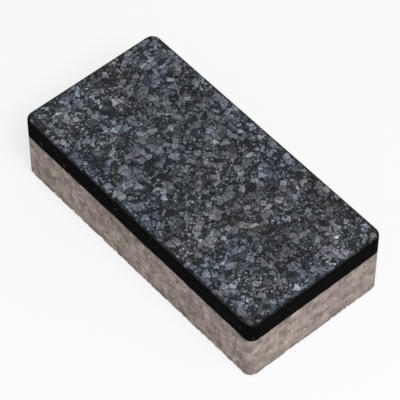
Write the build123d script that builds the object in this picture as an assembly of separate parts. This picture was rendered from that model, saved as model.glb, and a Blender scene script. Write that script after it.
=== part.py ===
from build123d import *

import os

# Concrete paver: one rectangular unit, pressed in a steel mould from two mixes of concrete.
# A thick backing of pale concrete carries a thin facing of dark granite chips. The facing is pressed on
# while the backing is still damp, so the two share the mould's outline and bond over one level plane.
# Millimetres. X runs along the length, Y across the width, and Z up from the middle of the bed face.

# Driving dimensions
LENGTH = 200.0
WIDTH = 100.0
HEIGHT = 50.0
FACING_DEPTH = 15.0  # the dark layer, as it shows on the sides
CORNER_RADIUS = 6.0  # upright corners, given by the mould's liner
ARRIS_RADIUS = 2.0  # edge of the wearing face, given by the rim of the pressing shoe
BED_CHAMFER = 1.0  # broken edge around the bed face, where the damp block leaves its board

# The plane over which the two mixes are bonded
BOND_HEIGHT = HEIGHT - FACING_DEPTH


def mould_outline(level):
    """The mould's inside, seen from above, drawn at a height above the bed."""
    return Plane.XY.offset(level) * RectangleRounded(LENGTH, WIDTH, CORNER_RADIUS)


def backing_block():
    """The body of the paver, from the bed face up to the bond, with its lower edge broken all round."""
    body = extrude(mould_outline(0), BOND_HEIGHT)
    bed_face = body.faces().sort_by(Axis.Z)[0]
    return chamfer(bed_face.edges(), BED_CHAMFER)


def facing_layer():
    """The wearing layer on the bond, with one rounded arris that runs on round the upright corners."""
    layer = extrude(mould_outline(BOND_HEIGHT), FACING_DEPTH)
    wearing_face = layer.faces().sort_by(Axis.Z)[-1]
    return fillet(wearing_face.edges(), ARRIS_RADIUS)


paver = {
    "backing_block": backing_block(),
    "facing_layer": facing_layer(),
}

os.makedirs("parts", exist_ok=True)
for node, solid in paver.items():
    export_step(solid, f"parts/{node}.step")
    size = solid.bounding_box().size
    print(f"{node}: {size.X:.1f} x {size.Y:.1f} x {size.Z:.1f} mm, {solid.volume / 1000:.1f} cm3")
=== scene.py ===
# %% [markdown]
# # A two-layer concrete paver
# A paver like this is pressed from two damp mixes in one steel mould: a thick, cheap, pale backing and
# a thin facing of granite chips in black cement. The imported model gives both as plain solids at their
# real size. This lesson keeps those sizes and gives each layer the skin that pressing and washing leave.

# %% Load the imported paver
import math
from collections import namedtuple

import bmesh
import bpy
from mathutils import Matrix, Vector, noise


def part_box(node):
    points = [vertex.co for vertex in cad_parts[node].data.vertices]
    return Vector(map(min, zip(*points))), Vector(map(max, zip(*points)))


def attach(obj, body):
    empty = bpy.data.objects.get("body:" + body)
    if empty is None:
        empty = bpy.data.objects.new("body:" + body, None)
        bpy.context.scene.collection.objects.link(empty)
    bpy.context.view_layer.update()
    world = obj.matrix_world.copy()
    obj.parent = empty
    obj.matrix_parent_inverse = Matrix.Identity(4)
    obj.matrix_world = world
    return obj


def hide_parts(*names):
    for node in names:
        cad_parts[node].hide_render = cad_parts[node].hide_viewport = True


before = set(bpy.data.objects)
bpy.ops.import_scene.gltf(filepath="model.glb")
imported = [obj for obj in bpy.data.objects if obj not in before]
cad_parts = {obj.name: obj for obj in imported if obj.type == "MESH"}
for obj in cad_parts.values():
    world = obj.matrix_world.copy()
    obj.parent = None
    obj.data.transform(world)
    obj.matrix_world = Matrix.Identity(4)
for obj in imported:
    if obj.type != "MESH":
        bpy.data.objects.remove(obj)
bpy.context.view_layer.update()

# %% [markdown]
# ## Sizes
# Blender works in metres here, but a paver is thought of in millimetres, so every size below is written
# as so many MM. The plan and the levels are read from the frame, so they always agree with the solids.
# The three edge sizes are those of the solids: the mould's corner radius, the rounded arris on top and
# the broken edge around the bed.

# %% Name the sizes of the mould
MM = 0.001
CORNER_RADIUS = 6.0 * MM
ARRIS_RADIUS = 2.0 * MM
BED_CHAMFER = 1.0 * MM
facing_low, facing_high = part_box("facing_layer")
backing_low, backing_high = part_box("backing_block")
half_plan = Vector((facing_high.x, facing_high.y))
bond_level = facing_low.z
wearing_level = facing_high.z
print("half plan", half_plan / MM, "bond", bond_level / MM, "wearing face", wearing_level / MM, "mm")

# %% [markdown]
# ## The mould's outline
# Every level of the paver has the same outline, a rectangle with round corners. A bevelled box would have
# it too, but with long faces that can't carry a relief. So each layer starts as a grid of small squares,
# and these helpers know the outline: one bends a grid's corners onto arcs, and one tells which way is
# straight out of the side at a point, so that a rim can be moved out by an even width all round.

# %% Helpers for the outline
arc_centre = half_plan - Vector((CORNER_RADIUS, CORNER_RADIUS))


def past_centre(point):
    """How far a plan point lies past the centres of the corner arcs, along X and along Y, with its signs."""
    past = [max(abs(point[i]) - arc_centre[i], 0.0) for i in (0, 1)]
    return Vector([math.copysign(past[i], point[i]) for i in (0, 1)])


def round_corner(point):
    """Moves a grid's point in a corner square onto an arc, so that nested squares become nested arcs."""
    past = past_centre(point)
    if past.x and past.y:
        pull = past * (max(abs(past.x), abs(past.y)) / past.length - 1)
        point.x += pull.x
        point.y += pull.y


def outwards(point):
    """The plan direction that points straight out of the side at a point on the outline."""
    return past_centre(point).normalized()


print("straight sides", arc_centre * 2 / MM, "mm")

# %% [markdown]
# ## The wavy bond
# The facing is tamped onto a backing that was only lightly pressed, so the line where the two mixes meet is
# nearly level but not ruled. A straight cut would look like two sawn slabs glued together. Both layers ask
# this one function for the height of the bond, so they waver together and still meet.

# %% Height of the bond at a place on the outline
BOND_WAVE = 0.45 * MM
BOND_LONG_WAVE = 34 * MM
BOND_SHORT_WAVE = 5 * MM


def bond_height(point):
    """The bond's level over a plan point, wavering slowly along the side and a little from grain to grain."""
    plan = Vector((point.x, point.y, 0))
    slow = noise.noise(plan / BOND_LONG_WAVE)
    quick = noise.noise(plan / BOND_SHORT_WAVE)
    return bond_level + BOND_WAVE * (slow + quick)


print("bond at the middle of an end:", bond_height(Vector((half_plan.x, 0))) / MM, "mm")

# %% [markdown]
# ## Skins of square cells
# The relief needs a skin of small, even cells. A subdivided box would spend half of its cells on the hidden
# joint between the layers. So a grid operator makes only the broad face, and its rim is extruded ring after
# ring: round the arris or over the broken edge, and on to the bond. The skin stays open there for now.

# %% Make the broad face and extrude its rim
def broad_face(level, inset, cell):
    """A flat grid at a level, inside the outline by an inset, with its corners rounded."""
    skin = bmesh.new()
    half = half_plan - Vector((inset, inset))
    columns, rows = (round(2 * side / cell) for side in half)
    bmesh.ops.create_grid(skin, x_segments=columns, y_segments=rows, size=1.0)
    bmesh.ops.scale(skin, vec=(half.x, half.y, 1.0), verts=skin.verts)
    bmesh.ops.translate(skin, vec=(0, 0, level), verts=skin.verts)
    for corner in skin.verts:
        round_corner(corner.co)
    print(f"broad face of {columns} x {rows} cells")
    return skin


def grow_ring(skin, rim, outset, height_at):
    """Extrudes a rim once, moves the new rim outwards and to a height, and returns its edges."""
    grown = bmesh.ops.extrude_edge_only(skin, edges=rim)["geom"]
    for corner in (part for part in grown if isinstance(part, bmesh.types.BMVert)):
        step = outwards(corner.co) * outset
        corner.co.x += step.x
        corner.co.y += step.y
        corner.co.z = height_at(corner.co)
    return [part for part in grown if isinstance(part, bmesh.types.BMEdge) and part.is_boundary]


# %% Grow a whole skin, from a broad face to the bond
def settle_order(skin):
    """Sorts edges and faces by their corners, because extruding leaves them in another order each run."""
    skin.verts.index_update()
    count = len(skin.verts)

    def place_in_order(part):
        corners = [corner.index for corner in part.verts]
        return min(corners) * count + max(corners)

    skin.edges.sort(key=place_in_order)
    skin.faces.sort(key=place_in_order)


def press_skin(edge_rings, cell, side_cell):
    """An open skin: a broad face, its edge as rings of (inset, level), and sides that end at the bond."""
    inset, level = edge_rings[0]
    skin = broad_face(level, inset, cell)
    rim = [edge for edge in skin.edges if edge.is_boundary]
    for next_inset, level in edge_rings[1:]:
        rim = grow_ring(skin, rim, inset - next_inset, lambda point: level)
        inset = next_inset
    rows = round(abs(bond_level - level) / side_cell)
    for row in range(1, rows + 1):
        rim = grow_ring(skin, rim, 0.0, lambda point: level + (bond_height(point) - level) * row / rows)
    print(f"skin of {len(skin.faces)} cells, {len(rim)} along its open rim")
    settle_order(skin)
    return skin


# %% [markdown]
# ## One function for every node
# The relief is a Geometry Nodes pattern and the finishes are shader nodes, and both kinds of tree hold the
# same texture nodes. So one small function adds any node: its settings are named arguments, and its inputs
# take a number, a colour, another node's first output or a chosen output. Colours are written as the sRGB
# values that a colour picker shows, and turned into the linear values that the nodes work with.

# %% Add a node with its settings and links
def linear(hex_colour):
    """An sRGB hex colour as the linear RGBA that Blender's sockets hold."""
    channels = [int(hex_colour[i:i + 2], 16) / 255 for i in (1, 3, 5)]
    return [c / 12.92 if c <= 0.04045 else ((c + 0.055) / 1.055) ** 2.4 for c in channels] + [1.0]


def first_output(source):
    """The first output in use, where a whole node is given as a source."""
    return next(s for s in source.outputs if s.enabled) if isinstance(source, bpy.types.Node) else source


def add_node(tree, kind, feeds=None, stops=None, blend="LINEAR", **settings):
    """Adds a node, sets it up, and feeds its inputs, which are named or counted among those in use."""
    made = tree.nodes.new(kind)
    for name, value in settings.items():
        setattr(made, name, value)
    for i, (position, colour) in enumerate(stops or []):
        element = made.color_ramp.elements[i] if i < 2 else made.color_ramp.elements.new(position)
        element.position = position
        element.color = linear(colour)
    if stops:
        made.color_ramp.interpolation = blend
    inputs = [s for s in made.inputs if s.enabled]
    for key, value in (feeds or {}).items():
        socket = inputs[key] if isinstance(key, int) else next(s for s in inputs if s.name == key)
        source = first_output(value)
        if isinstance(source, bpy.types.NodeSocket):
            tree.links.new(source, socket)
        else:
            socket.default_value = source
    return made


print("mid grey #808080 in linear light:", round(linear("#808080")[0], 3))

# %% [markdown]
# ## The bed of chips
# Crushed granite is sieved, so the facing holds chips of a few millimetres with finer grit between them.
# Thousands of modelled stones could be strewn, but a Voronoi texture packs them as tightly as pressing does.
# Its distance to the edge says how far inside a chip a point lies, and its colour gives each chip random
# draws for tone and height. The same function serves the relief and the colour, so a chip's tone ends where
# its edge does. The pattern is read at one level, as seen from above, and noise bends its straight edges.

# %% Bend the edges of cells
WOBBLES = 1.6
MIDDLE_DRAW = (0.5, 0.5, 0.5)  # the mean of three random draws from 0 to 1


def bend_edges(tree, place, size, share):
    """A place shifted by noise, which makes cells of a size ragged by a share of that size."""
    wobble = add_node(tree, "ShaderNodeTexNoise", {"Vector": place, "Scale": WOBBLES / size, "Detail": 2.0})
    centred = add_node(
        tree, "ShaderNodeVectorMath", {0: wobble.outputs["Color"], 1: MIDDLE_DRAW}, operation="SUBTRACT"
    )
    bend = share * size
    return add_node(
        tree, "ShaderNodeVectorMath", {0: centred, 1: (bend, bend, bend), 2: place}, operation="MULTIPLY_ADD"
    )


print("the edges of a cell waver", WOBBLES, "times across it")

# %% Chips of one size
BIG_CHIP = 4.0 * MM
SMALL_CHIP = 1.8 * MM
BIG_CHIP_SHARE = 0.55
CHIP_BEND = 0.45
Chips = namedtuple("Chips", "inside draws cell bent")


def chips(tree, place, size):
    """Chips of one size: the metres inside their edge, three random draws each, and what a tilt needs."""
    flat = add_node(tree, "ShaderNodeVectorMath", {0: place, 1: (1, 1, 0)}, operation="MULTIPLY")
    bent = bend_edges(tree, flat, size, CHIP_BEND)
    cell = add_node(tree, "ShaderNodeTexVoronoi", {"Vector": bent, "Scale": 1 / size}, feature="F1")
    edge = add_node(
        tree, "ShaderNodeTexVoronoi", {"Vector": bent, "Scale": 1 / size}, feature="DISTANCE_TO_EDGE"
    )
    inside = add_node(tree, "ShaderNodeMath", {0: edge, 1: size}, operation="MULTIPLY")
    draws = add_node(tree, "ShaderNodeSeparateXYZ", {0: cell.outputs["Color"]})
    return Chips(inside, draws, cell, bent)


def stands_up(tree, chip):
    """1 for the share of the big chips that stand above the grit, and 0 for those that lie under it."""
    return add_node(
        tree, "ShaderNodeMath", {0: chip.draws.outputs["X"], 1: 1 - BIG_CHIP_SHARE}, operation="GREATER_THAN"
    )


chip_count = 4 * half_plan.x * half_plan.y / BIG_CHIP ** 2 * BIG_CHIP_SHARE
print(f"about {chip_count:.0f} big chips stand on the face")

# %% [markdown]
# ## Cement left along the rim
# The pressing shoe closes the rim of the face, so the spray bares fewer chips there, and the chips fade into
# black cement over the last millimetres. A painted mask would need a picture. Instead the distance to the
# mould's outline is worked out in nodes, and a little noise keeps the border ragged.

# %% How bare the face is near its rim
RIM_CLOSED = 0.5 * MM
RIM_BARE = 2.6 * MM
RIM_RAGGED = 1.6 * MM
RAGGED_SPACING = 3.5 * MM


def bareness(tree, place):
    """0 on the closed rim of the wearing face and 1 where the spray bares every chip."""
    plan = add_node(tree, "ShaderNodeVectorMath", {0: place, 1: (1, 1, 0)}, operation="MULTIPLY")
    folded = add_node(tree, "ShaderNodeVectorMath", {0: plan}, operation="ABSOLUTE")
    past = add_node(tree, "ShaderNodeVectorMath", {0: folded, 1: (*arc_centre, 0)}, operation="SUBTRACT")
    past = add_node(tree, "ShaderNodeVectorMath", {0: past, 1: (0, 0, 0)}, operation="MAXIMUM")
    reach = add_node(tree, "ShaderNodeVectorMath", {0: past}, operation="LENGTH")
    from_rim = add_node(tree, "ShaderNodeMath", {0: CORNER_RADIUS, 1: reach}, operation="SUBTRACT")
    ragged = add_node(
        tree, "ShaderNodeTexNoise", {"Vector": plan, "Scale": 1 / RAGGED_SPACING, "Detail": 1.0}
    )
    ragged = add_node(tree, "ShaderNodeMath", {0: ragged, 1: 0.5}, operation="SUBTRACT")
    from_rim = add_node(
        tree, "ShaderNodeMath", {0: ragged, 1: 2 * RIM_RAGGED, 2: from_rim}, operation="MULTIPLY_ADD"
    )
    return add_node(
        tree, "ShaderNodeMapRange", {"Value": from_rim, "From Min": RIM_CLOSED, "From Max": RIM_BARE},
        interpolation_type="SMOOTHSTEP"
    )


print("closed rim about", (RIM_CLOSED + RIM_BARE) / 2 / MM, "mm wide")

# %% [markdown]
# ## Relief of the washed face
# After pressing, a spray takes the cement off the top of the facing and leaves the chips standing. Each big
# chip is a low table with its own height and tilt, the grit between lies lower, and cement fills the rest.
# A bump map would do from afar, but its outline stays ruled. Here the skin itself is moved, and only ever
# inwards from the solid's surface, so the paver's size stays what it was.

# %% Heights of the chips and of the grit
WASH_DEPTH = 0.95 * MM
CHIP_SLOPE = 0.6 * MM
GRIT_SLOPE = 0.5 * MM
CHIP_HEIGHTS = (0.6, 0.95)
GRIT_HEIGHTS = (0.15, 0.7)
CHIP_TILT = 0.5


def table_height(tree, chip, slope_width, heights):
    """Each chip as a low table: its own height inside, sloping to 0 at its edge."""
    table = add_node(
        tree, "ShaderNodeMapRange", {"Value": chip.inside, "From Max": slope_width},
        interpolation_type="SMOOTHSTEP"
    )
    height = add_node(
        tree, "ShaderNodeMapRange",
        {"Value": chip.draws.outputs["Y"], "To Min": heights[0], "To Max": heights[1]}
    )
    return table, height


def chip_tilt(tree, chip):
    """How much a tilted chip rises at a place, as a share of the washed depth."""
    random, middle = chip.cell.outputs["Color"], chip.cell.outputs["Position"]
    slope = add_node(tree, "ShaderNodeVectorMath", {0: random, 1: MIDDLE_DRAW}, operation="SUBTRACT")
    lean = add_node(tree, "ShaderNodeVectorMath", {0: chip.bent, 1: middle}, operation="SUBTRACT")
    rise = add_node(tree, "ShaderNodeVectorMath", {0: slope, 1: lean}, operation="DOT_PRODUCT")
    return add_node(tree, "ShaderNodeMath", {0: rise, 1: CHIP_TILT / WASH_DEPTH}, operation="MULTIPLY")


print("the spray washes", WASH_DEPTH / MM, "mm deep")

# %% Depth of the washed face
RIM_DEPTH = 0.3 * MM


def washed_depth(tree, place):
    """How far below the solid's top the washed face lies at a place."""
    chip = chips(tree, place, BIG_CHIP)
    table, height = table_height(tree, chip, CHIP_SLOPE, CHIP_HEIGHTS)
    height = add_node(tree, "ShaderNodeMath", {0: height, 1: chip_tilt(tree, chip)}, operation="ADD")
    stood = add_node(tree, "ShaderNodeMath", {0: table, 1: height}, operation="MULTIPLY")
    stood = add_node(tree, "ShaderNodeMath", {0: stood, 1: stands_up(tree, chip)}, operation="MULTIPLY")
    table, height = table_height(tree, chips(tree, place, SMALL_CHIP), GRIT_SLOPE, GRIT_HEIGHTS)
    grit = add_node(tree, "ShaderNodeMath", {0: table, 1: height}, operation="MULTIPLY")
    stood = add_node(tree, "ShaderNodeMath", {0: stood, 1: grit}, operation="MAXIMUM")
    sunk = add_node(tree, "ShaderNodeMapRange", {"Value": stood, "To Min": WASH_DEPTH, "To Max": 0.0})
    return add_node(
        tree, "ShaderNodeMix", {"Factor": bareness(tree, place), "A": RIM_DEPTH, "B": sunk}, data_type="FLOAT"
    )


print("the closed rim lies", RIM_DEPTH / MM, "mm below the highest chips")

# %% [markdown]
# ## Relief of the moulded sides
# The sides were rubbed by the steel as the damp block was pushed out: fine upright drag marks, a slow wave,
# sandy grain, and open pores where the mix didn't close. Cutting pores as holes would need far more faces.
# Here they are Voronoi cells of which only some count, each a small round pit of its own size.

# %% Open pores
PORE_SPACING = 7.5 * MM
PORE_RADII = (0.68 * MM, 1.5 * MM)
PORE_DEPTH = 0.9 * MM


def pore_depth(tree, place, share):
    """How deep the pores are at a place, where only a share of the cells holds one."""
    cell = add_node(tree, "ShaderNodeTexVoronoi", {"Vector": place, "Scale": 1 / PORE_SPACING}, feature="F1")
    draws = add_node(tree, "ShaderNodeSeparateXYZ", {0: cell.outputs["Color"]})
    open_pore = add_node(tree, "ShaderNodeMath", {0: draws.outputs["X"], 1: share}, operation="LESS_THAN")
    smallest, largest = (radius / PORE_SPACING for radius in PORE_RADII)
    radius = add_node(
        tree, "ShaderNodeMapRange", {"Value": draws.outputs["Y"], "To Min": smallest, "To Max": largest}
    )
    pit = add_node(
        tree, "ShaderNodeMapRange",
        {"Value": cell, "From Min": radius, "From Max": 0.0, "To Max": PORE_DEPTH},
        interpolation_type="SMOOTHSTEP"
    )
    return add_node(tree, "ShaderNodeMath", {0: pit, 1: open_pore}, operation="MULTIPLY")


print("pores up to", 2 * PORE_RADII[1] / MM, "mm across")

# %% Depth of the moulded sides
DRAG_WIDTH = 1.6 * MM
DRAG_SQUASH = 0.06
GRAIN = 1.5 * MM
SLOW_WAVE = 26 * MM


def upright_marks(tree, place, squash):
    """A place with its height squashed, which draws any pattern out into upright marks."""
    return add_node(tree, "ShaderNodeVectorMath", {0: place, 1: (1, 1, squash)}, operation="MULTIPLY")


def moulded_depth(tree, place, pore_share, grain_depth):
    """How far inside the solid's side the moulded skin lies at a place."""
    depth = pore_depth(tree, place, pore_share)
    dragged = upright_marks(tree, place, DRAG_SQUASH)
    for spot, size, detail in ((dragged, DRAG_WIDTH, 1.0), (place, GRAIN, 2.0), (place, SLOW_WAVE, 0.0)):
        rough = add_node(tree, "ShaderNodeTexNoise", {"Vector": spot, "Scale": 1 / size, "Detail": detail})
        depth = add_node(
            tree, "ShaderNodeMath", {0: rough, 1: grain_depth, 2: depth}, operation="MULTIPLY_ADD"
        )
    return depth


print("drag marks", DRAG_WIDTH / MM, "mm wide and", round(DRAG_WIDTH / DRAG_SQUASH / MM), "mm long")

# %% [markdown]
# ## Pressing a relief in
# A Geometry Nodes tree moves every point of a skin inwards along its normal by the depth that a pattern
# gives. A Displace modifier would need the patterns as old-style textures, apart from the shader's. The
# result is kept as the piece's own mesh, so nothing is left live, and the open rim is then closed with one
# face on the hidden bond.

# %% Move a skin by a relief
def pressed_mesh(piece, depth_of):
    """The mesh of a piece after a Geometry Nodes tree has pressed its relief in."""
    tree = bpy.data.node_groups.new(f"{piece.name}_relief", "GeometryNodeTree")
    tree.interface.new_socket("Skin", in_out="INPUT", socket_type="NodeSocketGeometry")
    tree.interface.new_socket("Skin", in_out="OUTPUT", socket_type="NodeSocketGeometry")
    bare = add_node(tree, "NodeGroupInput")
    place = add_node(tree, "GeometryNodeInputPosition")
    normal = add_node(tree, "GeometryNodeInputNormal")
    inwards = add_node(tree, "ShaderNodeMath", {0: depth_of(tree, place), 1: -1.0}, operation="MULTIPLY")
    step = add_node(tree, "ShaderNodeVectorMath", {0: normal, "Scale": inwards}, operation="SCALE")
    moved = add_node(tree, "GeometryNodeSetPosition", {"Geometry": bare, "Offset": step})
    add_node(tree, "NodeGroupOutput", {0: moved})
    piece.modifiers.new("relief", "NODES").node_group = tree
    print(f"{piece.name}: relief of {len(tree.nodes)} nodes")
    return bpy.data.meshes.new_from_object(piece.evaluated_get(bpy.context.evaluated_depsgraph_get()))


# %% Make a piece from a skin and a relief
def make_piece(name, skin, depth_of):
    """Turns an open skin into a finished, closed object, with its relief pressed in."""
    mesh = bpy.data.meshes.new(name)
    skin.to_mesh(mesh)
    skin.free()
    piece = bpy.data.objects.new(name, mesh)
    bpy.context.scene.collection.objects.link(piece)
    closed = bmesh.new()
    closed.from_mesh(pressed_mesh(piece, depth_of))
    piece.modifiers.clear()
    for face in closed.faces:
        face.smooth = True
    bmesh.ops.holes_fill(closed, edges=[edge for edge in closed.edges if edge.is_boundary], sides=0)
    bmesh.ops.recalc_face_normals(closed, faces=closed.faces)
    closed.to_mesh(mesh)
    closed.free()
    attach(piece, "root")
    mesh.calc_loop_triangles()
    print(f"{name}: {len(mesh.loop_triangles)} triangles, {len(mesh.polygons)} faces")
    return piece


# %% [markdown]
# ## The facing
# Its grid is the wearing face, its edge rings follow a quarter circle, and its sides run down to the bond.
# The washed relief belongs to the top and the arris. The spray doesn't reach the sides, which keep the
# smooth black cement skin of the mould with only a few pores. One piece with two reliefs that fade into
# each other has no seam at the arris, which two pieces would have.

# %% Grow the facing's skin
FACING_CELL = 0.52 * MM
FACING_SIDE_CELL = 0.75 * MM
ARRIS_STEPS = 4
arris_rings = []
for i in range(ARRIS_STEPS + 1):
    turn = math.radians(90 * i / ARRIS_STEPS)
    drop = ARRIS_RADIUS * (1 - math.cos(turn))
    arris_rings.append((ARRIS_RADIUS * (1 - math.sin(turn)), wearing_level - drop))
facing_skin = press_skin(arris_rings, FACING_CELL, FACING_SIDE_CELL)

# %% Press the facing's two reliefs in
FACING_PORES = 0.12
FACING_GRAIN = 0.05 * MM
WASHED_DROP = 0.4  # in radii of the arris: down to here the relief is all washed
MOULDED_DROP = 1.3  # and from here down it is all moulded
washed_above = wearing_level - WASHED_DROP * ARRIS_RADIUS
moulded_below = wearing_level - MOULDED_DROP * ARRIS_RADIUS


def facing_depth(tree, place):
    """The washed relief on top, fading over the arris into the moulded relief of the side."""
    height = add_node(tree, "ShaderNodeSeparateXYZ", {0: place}).outputs["Z"]
    reached = add_node(
        tree, "ShaderNodeMapRange", {"Value": height, "From Min": moulded_below, "From Max": washed_above}
    )
    side = moulded_depth(tree, place, FACING_PORES, FACING_GRAIN)
    top = washed_depth(tree, place)
    return add_node(tree, "ShaderNodeMix", {"Factor": reached, "A": side, "B": top}, data_type="FLOAT")


facing = make_piece("granite_facing", facing_skin, facing_depth)
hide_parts("facing_layer")

# %% [markdown]
# ## The backing
# It grows the other way: its grid is the bed face, its edge is broken, and its sides run up to the bond.
# The mix is drier and coarser than the facing, so it has more pores, and its lower edge crumbles where the
# fresh block slid off its board. A loop of bevels would break the edge evenly, and noise breaks it in crumbs.

# %% Grow the backing's skin
BACKING_CELL = 0.68 * MM
bed_level = backing_low.z
bed_rings = [
    (BED_CHAMFER, bed_level),
    (BED_CHAMFER / 2, bed_level + BED_CHAMFER / 2),
    (0.0, bed_level + BED_CHAMFER),
]
backing_skin = press_skin(bed_rings, BACKING_CELL, BACKING_CELL)
bmesh.ops.reverse_faces(backing_skin, faces=backing_skin.faces)

# %% Press the backing's relief in
BACKING_PORES = 0.4
BACKING_GRAIN = 0.1 * MM
CRUMB = 3.0 * MM
CRUMB_SPAN = (0.52, 0.75)  # from a noise value that leaves the edge sound to one that takes a whole crumb
CRUMB_DEPTH = 1.1 * MM
CRUMBLED_BELOW = 3.5 * MM
CRUMBLED_MOST = 0.3 * MM


def backing_depth(tree, place):
    """The moulded relief with many pores, and the crumbled edge just above the bed."""
    height = add_node(tree, "ShaderNodeSeparateXYZ", {0: place}).outputs["Z"]
    near_bed = add_node(
        tree, "ShaderNodeMapRange", {"Value": height, "From Min": CRUMBLED_BELOW, "From Max": CRUMBLED_MOST},
        interpolation_type="SMOOTHSTEP"
    )
    crumbs = add_node(tree, "ShaderNodeTexNoise", {"Vector": place, "Scale": 1 / CRUMB, "Detail": 2.0})
    lost = add_node(
        tree, "ShaderNodeMapRange",
        {"Value": crumbs, "From Min": CRUMB_SPAN[0], "From Max": CRUMB_SPAN[1], "To Max": CRUMB_DEPTH}
    )
    side = moulded_depth(tree, place, BACKING_PORES, BACKING_GRAIN)
    return add_node(tree, "ShaderNodeMath", {0: lost, 1: near_bed, 2: side}, operation="MULTIPLY_ADD")


backing = make_piece("backing_concrete", backing_skin, backing_depth)
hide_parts("backing_block")

# %% [markdown]
# ## Helpers for the finishes
# Concrete and stone are never one even colour. Four small helpers serve all the finishes: a fresh material
# with its tree, a palette in which a random draw picks each colour by its share of the mix, a tone that
# wavers about 1 in clouds of a given size, and a faint tint that changes from patch to patch.

# %% Material and palette
def new_material(name):
    """An empty node material, with its tree, its output and the place on the piece."""
    material = bpy.data.materials.new(name)
    material.use_nodes = True
    tree = material.node_tree
    tree.nodes.clear()
    output = add_node(tree, "ShaderNodeOutputMaterial")
    place = add_node(tree, "ShaderNodeTexCoord").outputs["Object"]
    return material, tree, output, place


def shares_to_stops(palette):
    """Ramp stops for a palette of (share, colour), so that a random draw picks each colour by its share."""
    stops, reached = [], 0.0
    for share, colour in palette:
        stops.append((reached, colour))
        reached += share
    return stops


print("two even shares start at", [start for start, colour in shares_to_stops([(0.5, "#000000")] * 2)])

# %% Uneven tone and tint
NOISE_SPAN = (0.3, 0.7)  # where most values of a noise lie


def uneven_tone(tree, place, size, swing, detail=2.0):
    """A tone that wavers about 1, by up to a swing, in clouds of a size."""
    clouds = add_node(tree, "ShaderNodeTexNoise", {"Vector": place, "Scale": 1 / size, "Detail": detail})
    return add_node(
        tree, "ShaderNodeMapRange",
        {
            "Value": clouds, "From Min": NOISE_SPAN[0], "From Max": NOISE_SPAN[1],
            "To Min": 1 - swing, "To Max": 1 + swing,
        }
    )


def tint_patches(tree, colour, place, size, tints):
    """A colour under a tint that changes slowly, in patches of a size."""
    patches = add_node(tree, "ShaderNodeTexNoise", {"Vector": place, "Scale": 1 / size, "Detail": 2.0})
    tint = add_node(tree, "ShaderNodeValToRGB", {0: patches}, stops=tints)
    return add_node(
        tree, "ShaderNodeMix", {"Factor": 1.0, "A": colour, "B": tint},
        data_type="RGBA", blend_type="MULTIPLY"
    )


print("tones swing while the noise goes from", NOISE_SPAN[0], "to", NOISE_SPAN[1])

# %% [markdown]
# ## Washed granite chips
# Granite chips washed bare give the eye a dark, cool grey salt-and-pepper: charcoal, blue-grey and pale
# stones, now and then a white quartz chip, and black cement in the gaps. A picture of stones could not line
# up with the modelled chips. So the chips of the relief are asked again, and each one's random draw picks
# its colour. The grit is laid first, some of it buried deeper in the cement, and the big chips over it.

# %% Lay the grit in its cement
GRIT_COLOURS = [
    (0.20, "#27292d"), (0.25, "#484c53"), (0.28, "#62676f"), (0.20, "#737a82"), (0.07, "#868d94"),
]
CEMENT = "#25272b"
GRIT_FILM = 0.18 * MM
GRIT_BURIED = 0.27 * MM
washed, tree, washed_output, place = new_material("granite_chips_washed_bare")
grit = chips(tree, place, SMALL_CHIP)
grit_colour = add_node(
    tree, "ShaderNodeValToRGB", {0: grit.draws.outputs["X"]},
    stops=shares_to_stops(GRIT_COLOURS), blend="CONSTANT"
)
buried = add_node(tree, "ShaderNodeMapRange", {"Value": grit.draws.outputs["Z"], "To Max": GRIT_BURIED})
grit_bare = add_node(tree, "ShaderNodeMath", {0: grit.inside, 1: buried}, operation="SUBTRACT")
grit_mask = add_node(
    tree, "ShaderNodeMapRange", {"Value": grit_bare, "From Max": GRIT_FILM}, interpolation_type="SMOOTHSTEP"
)
colour = add_node(
    tree, "ShaderNodeMix", {"Factor": grit_mask, "A": linear(CEMENT), "B": grit_colour}, data_type="RGBA"
)
print("grit of", SMALL_CHIP / MM, "mm in", len(GRIT_COLOURS), "colours")

# %% Choose the colour of each big chip
CHIP_COLOURS = [
    (0.14, "#222427"), (0.18, "#42464c"), (0.26, "#5e636b"),
    (0.24, "#6d727a"), (0.14, "#7b8189"), (0.04, "#8c9299"),
]
QUARTZ = "#c3c4c0"
QUARTZ_SHARE = 0.003
chip = chips(tree, place, BIG_CHIP)
chip_draw = add_node(
    tree, "ShaderNodeMapRange", {"Value": chip.draws.outputs["X"], "From Min": 1 - BIG_CHIP_SHARE}
)
chip_colour = add_node(
    tree, "ShaderNodeValToRGB", {0: chip_draw}, stops=shares_to_stops(CHIP_COLOURS), blend="CONSTANT"
)
quartz = add_node(
    tree, "ShaderNodeMath", {0: chip.draws.outputs["Z"], 1: 1 - QUARTZ_SHARE}, operation="GREATER_THAN"
)
chip_colour = add_node(
    tree, "ShaderNodeMix", {"Factor": quartz, "A": chip_colour, "B": linear(QUARTZ)}, data_type="RGBA"
)
print("chips of", BIG_CHIP / MM, "mm in", len(CHIP_COLOURS), "colours and quartz")

# %% Lay the big chips over the grit
CHIP_FILM = (0.12 * MM, 0.34 * MM)
STONE_TINT = 0.045
chip_mask = add_node(
    tree, "ShaderNodeMapRange", {"Value": chip.inside, "From Min": CHIP_FILM[0], "From Max": CHIP_FILM[1]},
    interpolation_type="SMOOTHSTEP"
)
chip_mask = add_node(tree, "ShaderNodeMath", {0: chip_mask, 1: stands_up(tree, chip)}, operation="MULTIPLY")
colour = add_node(
    tree, "ShaderNodeMix", {"Factor": chip_mask, "A": colour, "B": chip_colour}, data_type="RGBA"
)
colour = add_node(
    tree, "ShaderNodeMix", {"Factor": STONE_TINT, "A": colour, "B": chip.cell.outputs["Color"]},
    data_type="RGBA", blend_type="SOFT_LIGHT"
)
print("cement film on the edge of a chip:", CHIP_FILM[1] / MM, "mm")

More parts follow.
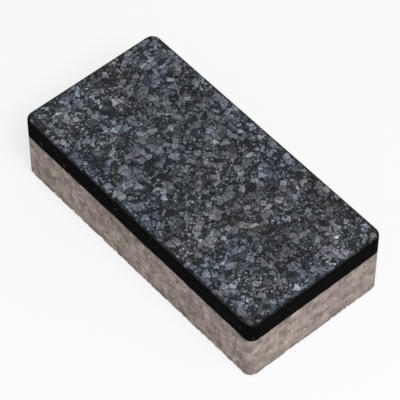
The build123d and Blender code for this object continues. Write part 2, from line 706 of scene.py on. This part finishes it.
# %% [markdown]
# ## Crystals, clumps and the dark rim
# A granite chip is itself a mosaic of pale feldspar and dark mica, which a second, finer Voronoi gives. Chips
# of one tone gather in clumps as the mix is poured, and whole parts of the face are a little lighter, bluer
# or browner. Two wavering tones and a tint give that, and without them the face looks like even printed dots.
# Last comes the cement along the rim. Bare stone is smoother than cement, so the chips are less rough too.

# %% Tones within the chips and across the face
CRYSTAL = 0.8 * MM
CRYSTAL_TONES = (0.54, 1.74)
CLUMP = 11 * MM
CLUMP_SWING = 0.4
DRIFT = 45 * MM
DRIFT_SWING = 0.12
STONE_PATCH = 30 * MM
STONE_PATCH_TINTS = [(0.35, "#fff7f0"), (0.65, "#eef7ff")]
RIM_CEMENT = "#111111"
crystals = add_node(tree, "ShaderNodeTexVoronoi", {"Vector": place, "Scale": 1 / CRYSTAL}, feature="F1")
crystal_draw = add_node(tree, "ShaderNodeSeparateXYZ", {0: crystals.outputs["Color"]}).outputs["X"]
tone = add_node(
    tree, "ShaderNodeMapRange",
    {"Value": crystal_draw, "To Min": CRYSTAL_TONES[0], "To Max": CRYSTAL_TONES[1]}
)
for size, swing in ((CLUMP, CLUMP_SWING), (DRIFT, DRIFT_SWING)):
    cloud = uneven_tone(tree, place, size, swing)
    tone = add_node(tree, "ShaderNodeMath", {0: tone, 1: cloud}, operation="MULTIPLY")
colour = add_node(tree, "ShaderNodeVectorMath", {0: colour, "Scale": tone}, operation="SCALE")
colour = tint_patches(tree, colour, place, STONE_PATCH, STONE_PATCH_TINTS)
bare = bareness(tree, place)
colour = add_node(
    tree, "ShaderNodeMix", {"Factor": bare, "A": linear(RIM_CEMENT), "B": colour}, data_type="RGBA"
)
print("crystals of", CRYSTAL / MM, "mm in clumps of", CLUMP / MM, "mm")

# %% Shade the washed face
CRYSTAL_RISE = 0.45
WASHED_BUMP = 0.22 * MM
CEMENT_ROUGHNESS = 0.85
STONE_ROUGHNESS = 0.55
edges = add_node(tree, "ShaderNodeMath", {0: grit_mask, 1: chip_mask}, operation="MAXIMUM")
grain_height = add_node(
    tree, "ShaderNodeMath", {0: crystal_draw, 1: CRYSTAL_RISE, 2: edges}, operation="MULTIPLY_ADD"
)
grain_bump = add_node(
    tree, "ShaderNodeBump", {"Height": grain_height, "Strength": 0.6, "Distance": WASHED_BUMP}
)
roughness = add_node(
    tree, "ShaderNodeMapRange", {"Value": chip_mask, "To Min": CEMENT_ROUGHNESS, "To Max": STONE_ROUGHNESS}
)
shader = add_node(
    tree, "ShaderNodeBsdfPrincipled",
    {
        "Base Color": colour, "Roughness": roughness, "Normal": grain_bump,
        "IOR": 1.53, "Specular IOR Level": 0.14,
    }
)
tree.links.new(shader.outputs["BSDF"], washed_output.inputs["Surface"])
print(f"{washed.name}: {len(tree.nodes)} nodes")

# %% [markdown]
# ## Grains that the mould rubs bare
# Where a block slides along the steel, the cement skin wears off the sand just under it, and round grains
# show. They are few in the black facing and many in the sandy backing, so both finishes use one helper. Its
# grains are Voronoi cells with a radius of their own, and a radius below zero leaves the cell without one.
# Their edges are bent like those of the chips, or they would be a pattern of dots.

# %% Rubbed grains
GRAIN_EDGE = 0.18 * MM
GRAIN_COVER = 0.8
GRAIN_BEND = 0.95


def rubbed_grains(tree, place, spacing, radii):
    """Grains at a spacing: a mask of where they show, and the random draw that colours each one."""
    bent = bend_edges(tree, place, spacing, GRAIN_BEND)
    cell = add_node(tree, "ShaderNodeTexVoronoi", {"Vector": bent, "Scale": 1 / spacing}, feature="F1")
    draws = add_node(tree, "ShaderNodeSeparateXYZ", {0: cell.outputs["Color"]})
    smallest, largest = (radius / spacing for radius in radii)
    radius = add_node(
        tree, "ShaderNodeMapRange", {"Value": draws.outputs["X"], "To Min": smallest, "To Max": largest}
    )
    inside = add_node(tree, "ShaderNodeMath", {0: radius, 1: cell}, operation="SUBTRACT")
    mask = add_node(
        tree, "ShaderNodeMapRange", {"Value": inside, "From Max": GRAIN_EDGE / spacing, "To Max": GRAIN_COVER}
    )
    return mask, draws.outputs["Y"]


print("grains fade over", GRAIN_EDGE / MM, "mm")

# %% [markdown]
# ## Moulded black concrete
# The sides of the facing keep the cement skin of the mould. Pigment makes it nearly black, and it is dull, so
# it reads as a dark band under the speckled top. Close to, it shows faint sand, upright drag marks and a few
# rubbed grains. A flat black would look like tape.

# %% Material of the facing's sides
SKIN_SAND = 0.9 * MM
SKIN_COLOURS = [(0.35, "#050404"), (0.58, "#090808"), (0.72, "#1f1d1d")]
SKIN_GRAIN_SPACING = 2.6 * MM
SKIN_GRAIN_RADII = (-1.2 * MM, 0.85 * MM)
SKIN_GRAIN_COLOURS = [(0.0, "#191818"), (1.0, "#525050")]
SKIN_DRAG = 2.0 * MM
SKIN_DRAG_SWING = 0.35
SKIN_BUMP = 0.15 * MM
moulded, tree, moulded_output, place = new_material("black_concrete_moulded")
sand = add_node(tree, "ShaderNodeTexNoise", {"Vector": place, "Scale": 1 / SKIN_SAND, "Detail": 2.0})
colour = add_node(tree, "ShaderNodeValToRGB", {0: sand}, stops=SKIN_COLOURS)
smear = uneven_tone(tree, upright_marks(tree, place, DRAG_SQUASH), SKIN_DRAG, SKIN_DRAG_SWING)
colour = add_node(tree, "ShaderNodeVectorMath", {0: colour, "Scale": smear}, operation="SCALE")
grain_mask, grain_draw = rubbed_grains(tree, place, SKIN_GRAIN_SPACING, SKIN_GRAIN_RADII)
grain_colour = add_node(tree, "ShaderNodeValToRGB", {0: grain_draw}, stops=SKIN_GRAIN_COLOURS)
colour = add_node(
    tree, "ShaderNodeMix", {"Factor": grain_mask, "A": colour, "B": grain_colour}, data_type="RGBA"
)
skin_height = add_node(tree, "ShaderNodeMath", {0: sand, 1: grain_mask}, operation="ADD")
skin_bump = add_node(tree, "ShaderNodeBump", {"Height": skin_height, "Strength": 0.4, "Distance": SKIN_BUMP})
shader = add_node(
    tree, "ShaderNodeBsdfPrincipled",
    {"Base Color": colour, "Roughness": 0.95, "Normal": skin_bump, "IOR": 1.5, "Specular IOR Level": 0.03}
)
tree.links.new(shader.outputs["BSDF"], moulded_output.inputs["Surface"])
print(f"{moulded.name}: {len(tree.nodes)} nodes")

# %% [markdown]
# ## Two finishes on one piece
# The facing is one piece, so its two finishes are material slots, and each face of the mesh takes one by its
# height. The border lies low on the arris, where both finishes are the same black cement and hide it.

# %% Give the facing its two finishes
FINISH_DROP = 0.55  # in radii of the arris
finish_border = wearing_level - FINISH_DROP * ARRIS_RADIUS - RIM_DEPTH
facing.data.materials.append(washed)
facing.data.materials.append(moulded)
for face in facing.data.polygons:
    face.material_index = 0 if face.center.z > finish_border else 1
print("washed faces:", sum(face.material_index == 0 for face in facing.data.polygons))

# %% [markdown]
# ## Pressed backing concrete
# The backing is sand and small gravel in grey cement. It looks pale and slightly pink, matt and sandy, with
# upright smears from the mould, rubbed grains and dark voids. One noise can't look like that, because each
# of these has its own size. So they are laid over each other in the order in which they come about.

# %% Paste, sand and rubbed grains
PASTE_CLOUD = 6.5 * MM
PASTE_COLOURS = [(0.3, "#8c837e"), (0.5, "#aea4a0"), (0.7, "#cac0bb")]
SAND = 0.75 * MM  # real sand is finer, and is drawn as coarse as the render can show
SAND_SWING = 0.22
GRAIN_SPACING = 2.9 * MM
GRAIN_RADII = (-0.5 * MM, 1.65 * MM)
GRAIN_COLOURS = [(0.25, "#756b67"), (0.25, "#938a85"), (0.3, "#bfb5b0"), (0.2, "#d8d1cb")]
pressed, tree, pressed_output, place = new_material("backing_concrete_pressed")
clouds = add_node(tree, "ShaderNodeTexNoise", {"Vector": place, "Scale": 1 / PASTE_CLOUD, "Detail": 3.0})
colour = add_node(tree, "ShaderNodeValToRGB", {0: clouds}, stops=PASTE_COLOURS)
sand_tone = uneven_tone(tree, place, SAND, SAND_SWING)
colour = add_node(tree, "ShaderNodeVectorMath", {0: colour, "Scale": sand_tone}, operation="SCALE")
grain_mask, grain_draw = rubbed_grains(tree, place, GRAIN_SPACING, GRAIN_RADII)
grain_colour = add_node(
    tree, "ShaderNodeValToRGB", {0: grain_draw}, stops=shares_to_stops(GRAIN_COLOURS), blend="CONSTANT"
)
colour = add_node(
    tree, "ShaderNodeMix", {"Factor": grain_mask, "A": colour, "B": grain_colour}, data_type="RGBA"
)
print("sand of", SAND / MM, "mm, grains up to", 2 * GRAIN_RADII[1] / MM, "mm across")

# %% Voids, smears and patches
VOID = 1.9 * MM
VOID_SPAN = (0.62, 0.7)  # only the highest values of the noise open a void
VOID_PAINTED_SHADE = "#5f5652"
SMEAR = 2.4 * MM
SMEAR_SWING = 0.1
SMEAR_SQUASH = 0.08
PATCH = 28 * MM
PATCH_TINTS = [(0.35, "#fcf9f1"), (0.65, "#fff4f4")]
voids = add_node(
    tree, "ShaderNodeTexNoise", {"Vector": place, "Scale": 1 / VOID, "Detail": 3.0, "Roughness": 0.6}
)
open_void = add_node(
    tree, "ShaderNodeMapRange", {"Value": voids, "From Min": VOID_SPAN[0], "From Max": VOID_SPAN[1]},
    interpolation_type="SMOOTHSTEP"
)
# The dark colour of a void is painted shade in a small pit that the relief doesn't cut; the bump below also
# lowers it.
colour = add_node(
    tree, "ShaderNodeMix", {"Factor": open_void, "A": colour, "B": linear(VOID_PAINTED_SHADE)}, data_type="RGBA"
)
dragged = upright_marks(tree, place, SMEAR_SQUASH)
smear = uneven_tone(tree, dragged, SMEAR, SMEAR_SWING)
colour = add_node(tree, "ShaderNodeVectorMath", {0: colour, "Scale": smear}, operation="SCALE")
colour = tint_patches(tree, colour, place, PATCH, PATCH_TINTS)
print("voids of", VOID / MM, "mm, patches of", PATCH / MM, "mm")

# %% [markdown]
# ## The backing's foot and its stained top edge
# Two things change with height. The foot is a little darker towards the bottom. Under the bond
# black slurry has run down a few millimetres from the facing, further in some places than in others. Both are
# read from the height of a point, and the slurry's reach from the same upright marks as the smears.

# %% Foot, slurry and shading of the backing
FOOT_HEIGHT = 6 * MM
FOOT_TONE = 0.82
SLURRY_COLOUR = "#3a3533"
SLURRY_SPACING = 5 * MM
SLURRY_SPAN = (0.35, 0.75)  # from a noise value where it stays at the bond to one where it runs furthest
SLURRY_REACH = 3.5 * MM
SLURRY_FADE = 2.5 * MM
SLURRY_COVER = 0.55
height = add_node(tree, "ShaderNodeSeparateXYZ", {0: place}).outputs["Z"]
foot = add_node(tree, "ShaderNodeMapRange", {"Value": height, "From Max": FOOT_HEIGHT, "To Min": FOOT_TONE})
colour = add_node(tree, "ShaderNodeVectorMath", {0: colour, "Scale": foot}, operation="SCALE")
runs = add_node(tree, "ShaderNodeTexNoise", {"Vector": dragged, "Scale": 1 / SLURRY_SPACING, "Detail": 3.0})
reach = add_node(
    tree, "ShaderNodeMapRange",
    {"Value": runs, "From Min": SLURRY_SPAN[0], "From Max": SLURRY_SPAN[1], "To Max": SLURRY_REACH}
)
above = add_node(tree, "ShaderNodeMath", {0: height, 1: bond_level}, operation="SUBTRACT")
above = add_node(tree, "ShaderNodeMath", {0: above, 1: reach}, operation="ADD")
slurry = add_node(
    tree, "ShaderNodeMapRange", {"Value": above, "From Max": SLURRY_FADE, "To Max": SLURRY_COVER}
)
colour = add_node(
    tree, "ShaderNodeMix", {"Factor": slurry, "A": colour, "B": linear(SLURRY_COLOUR)}, data_type="RGBA"
)
print("slurry runs down up to", SLURRY_REACH / MM, "mm")

# %% Shade the backing
SAND_RISE = 0.64
SANDY_BUMP = 0.3 * MM
sandy = add_node(
    tree, "ShaderNodeMath", {0: sand_tone, 1: SAND_RISE, 2: grain_mask}, operation="MULTIPLY_ADD"
)
sandy = add_node(tree, "ShaderNodeMath", {0: sandy, 1: open_void}, operation="SUBTRACT")
sandy_bump = add_node(tree, "ShaderNodeBump", {"Height": sandy, "Strength": 0.6, "Distance": SANDY_BUMP})
shader = add_node(
    tree, "ShaderNodeBsdfPrincipled",
    {"Base Color": colour, "Roughness": 0.95, "Normal": sandy_bump, "IOR": 1.5, "Specular IOR Level": 0.15}
)
tree.links.new(shader.outputs["BSDF"], pressed_output.inputs["Surface"])
backing.data.materials.append(pressed)
print(f"{pressed.name}: {len(tree.nodes)} nodes")

# %% [markdown]
# ## A flat map for each layer
# An exported model keeps its colours in a picture, and the picture needs a map from the skin to the page.
# The skin is laid out like a cut-open box: the broad face, the sides as strips under it, and the hidden bond
# small in a corner. Blender's own unwrap would cut the rough skin into thousands of scraps.

# %% Lay the skins out flat
MAP_GAP = 4 * MM
STRIP_ROWS = 3  # one for each long side, and one for both ends
BOND_SHRINK = 0.1
STEEPEST_BROAD = 0.5  # the upright part of the normal of the steepest face that counts as level
SIDE_REACH = 2.5 * MM  # no pore or crumb of a side lies deeper inside the outline


def lay_flat(piece, low, high):
    """Adds the map on which a piece's colours are kept, with its faces at one scale, as a cut-open box."""
    length, width = 2 * half_plan
    row = high.z - low.z + MAP_GAP
    strips_start = width + MAP_GAP
    page = max(strips_start + STRIP_ROWS * row, length + MAP_GAP + BOND_SHRINK * length)
    mesh = piece.data
    spots = mesh.uv_layers.new(name="OFBake").data
    for face in mesh.polygons:
        past = past_centre(face.center)
        from_side = CORNER_RADIUS - past.length
        on_bond = len(face.vertices) > 4  # the face that closes the rim
        level = abs(face.normal.z) > STEEPEST_BROAD
        on_broad = from_side > (BED_CHAMFER if level else SIDE_REACH)
        for i in face.loop_indices:
            place = mesh.vertices[mesh.loops[i].vertex_index].co
            along, across, up = place.x + half_plan.x, place.y + half_plan.y, place.z - low.z
            if on_bond:
                spot = (length + MAP_GAP + BOND_SHRINK * along, BOND_SHRINK * across)
            elif on_broad:
                spot = (along, across)
            elif abs(past.y) > abs(past.x):
                spot = (along, strips_start + (row if past.y > 0 else 0) + up)
            else:
                spot = (across + (width if past.x > 0 else 0), strips_start + 2 * row + up)
            spots[i].uv = (spot[0] / page, spot[1] / page)
    print(f"{piece.name}: map page of {page / MM:.0f} mm")


lay_flat(facing, facing_low, facing_high)
lay_flat(backing, backing_low, backing_high)

# %% [markdown]
# ## A white floor
# The floor is one large square. To the camera it is white, so that nothing competes with the stone, and it
# still keeps the shadow, because part of its white is lit paper. To the light that it throws back it is a
# pale grey, or it would brighten the sides too much. Seen from below it is clear. It is also clear to rays
# that leave the bed face just above it, so the bed isn't black when the camera looks up at it.

# %% What the camera sees directly
SEEING_RAYS = ("Is Camera Ray", "Is Glossy Ray", "Is Transmission Ray")


def seen_directly(tree):
    """1 for a ray that shows the background, straight or in a gloss, and 0 for light on its way."""
    path = add_node(tree, "ShaderNodeLightPath")
    shown = 0.0
    for kind in SEEING_RAYS:
        shown = add_node(tree, "ShaderNodeMath", {0: shown, 1: path.outputs[kind]}, operation="MAXIMUM")
    return shown


print("the background is white to rays of", len(SEEING_RAYS), "kinds")

# %% Lay the floor
FLOOR_HALF = 30.0
floor_mesh = bpy.data.meshes.new("floor")
floor_grid = bmesh.new()
bmesh.ops.create_grid(floor_grid, x_segments=1, y_segments=1, size=FLOOR_HALF)
floor_grid.to_mesh(floor_mesh)
floor_grid.free()
floor = bpy.data.objects.new("floor", floor_mesh)
bpy.context.scene.collection.objects.link(floor)
print("floor side:", 2 * FLOOR_HALF, "m")

# %% Make the floor white
FLOOR_SEEN = "#ffffff"
FLOOR_TO_LIGHT = "#d0d0d0"
FLOOR_GLOW = 0.7
BED_GAP = 2 * MM
paper, tree, paper_output, place = new_material("white_floor")
seen = seen_directly(tree)
paper_colour = add_node(
    tree, "ShaderNodeMix", {"Factor": seen, "A": linear(FLOOR_TO_LIGHT), "B": linear(FLOOR_SEEN)},
    data_type="RGBA"
)
matt = add_node(tree, "ShaderNodeBsdfDiffuse", {"Color": paper_colour})
glow = add_node(tree, "ShaderNodeEmission", {"Color": linear(FLOOR_SEEN), "Strength": 1.0})
glow_share = add_node(tree, "ShaderNodeMath", {0: seen, 1: FLOOR_GLOW}, operation="MULTIPLY")
lit_paper = add_node(tree, "ShaderNodeMixShader", {0: glow_share, 1: matt, 2: glow})
under = add_node(tree, "ShaderNodeNewGeometry").outputs["Backfacing"]
ray_length = add_node(tree, "ShaderNodeLightPath").outputs["Ray Length"]
touching = add_node(tree, "ShaderNodeMath", {0: ray_length, 1: BED_GAP}, operation="LESS_THAN")
unseen = add_node(tree, "ShaderNodeMath", {0: under, 1: touching}, operation="MAXIMUM")
clear = add_node(tree, "ShaderNodeBsdfTransparent")
surface = add_node(tree, "ShaderNodeMixShader", {0: unseen, 1: lit_paper, 2: clear})
tree.links.new(surface.outputs["Shader"], paper_output.inputs["Surface"])
floor_mesh.materials.append(paper)
print(f"{paper.name}: {len(tree.nodes)} nodes")

# %% [markdown]
# ## Light
# An even white sky keeps the colours about as they were written, and one large soft lamp to the right makes
# the end face lighter than the long side, so that the corner reads. Sunlight would draw hard shadows into the
# rough face and hide its colours. The sky shows as white behind the paver, and lights it less than that.

# %% Light the scene
SKY = 0.38
LAMP_PLACE = Vector((0.95, -0.25, 1.5))
LAMP_SIDE = 0.9
LAMP_POWER = 21.0
world = bpy.data.worlds.new("even_sky")
bpy.context.scene.world = world
world.use_nodes = True
tree = world.node_tree
tree.nodes.clear()
strength = add_node(
    tree, "ShaderNodeMix", {"Factor": seen_directly(tree), "A": SKY, "B": 1.0}, data_type="FLOAT"
)
sky = add_node(tree, "ShaderNodeBackground", {"Color": linear("#ffffff"), "Strength": strength})
add_node(tree, "ShaderNodeOutputWorld", {"Surface": sky})
lamp_data = bpy.data.lights.new("soft_lamp", "AREA")
lamp_data.size = LAMP_SIDE
lamp_data.energy = LAMP_POWER
lamp = bpy.data.objects.new("soft_lamp", lamp_data)
lamp.location = LAMP_PLACE
lamp.rotation_euler = (-LAMP_PLACE).to_track_quat("-Z", "Y").to_euler()
bpy.context.scene.collection.objects.link(lamp)
print(f"lamp {LAMP_PLACE.length:.2f} m away")

# %% [markdown]
# ## Camera
# The camera looks down on one corner, so that the wearing face, a long side and an end all show. A long lens
# from well back keeps the edges nearly parallel. A short lens close up would stretch the near corner.

# %% Aim the camera
AZIMUTH = math.radians(49)
ELEVATION = math.radians(52.5)
DISTANCE = 1.45
LENS_MM = 225
aim = Vector((0, 0, wearing_level / 2))
level_reach = math.cos(ELEVATION)
back = Vector((math.sin(AZIMUTH) * level_reach, -math.cos(AZIMUTH) * level_reach, math.sin(ELEVATION)))
camera_data = bpy.data.cameras.new("camera")
camera_data.lens = LENS_MM
camera = bpy.data.objects.new("camera", camera_data)
camera.location = aim + back * DISTANCE
camera.rotation_euler = (-back).to_track_quat("-Z", "Y").to_euler()
bpy.context.scene.collection.objects.link(camera)
bpy.context.scene.camera = camera
bpy.context.scene.view_settings.view_transform = "Standard"
print("camera at", [round(c, 3) for c in camera.location], "m")
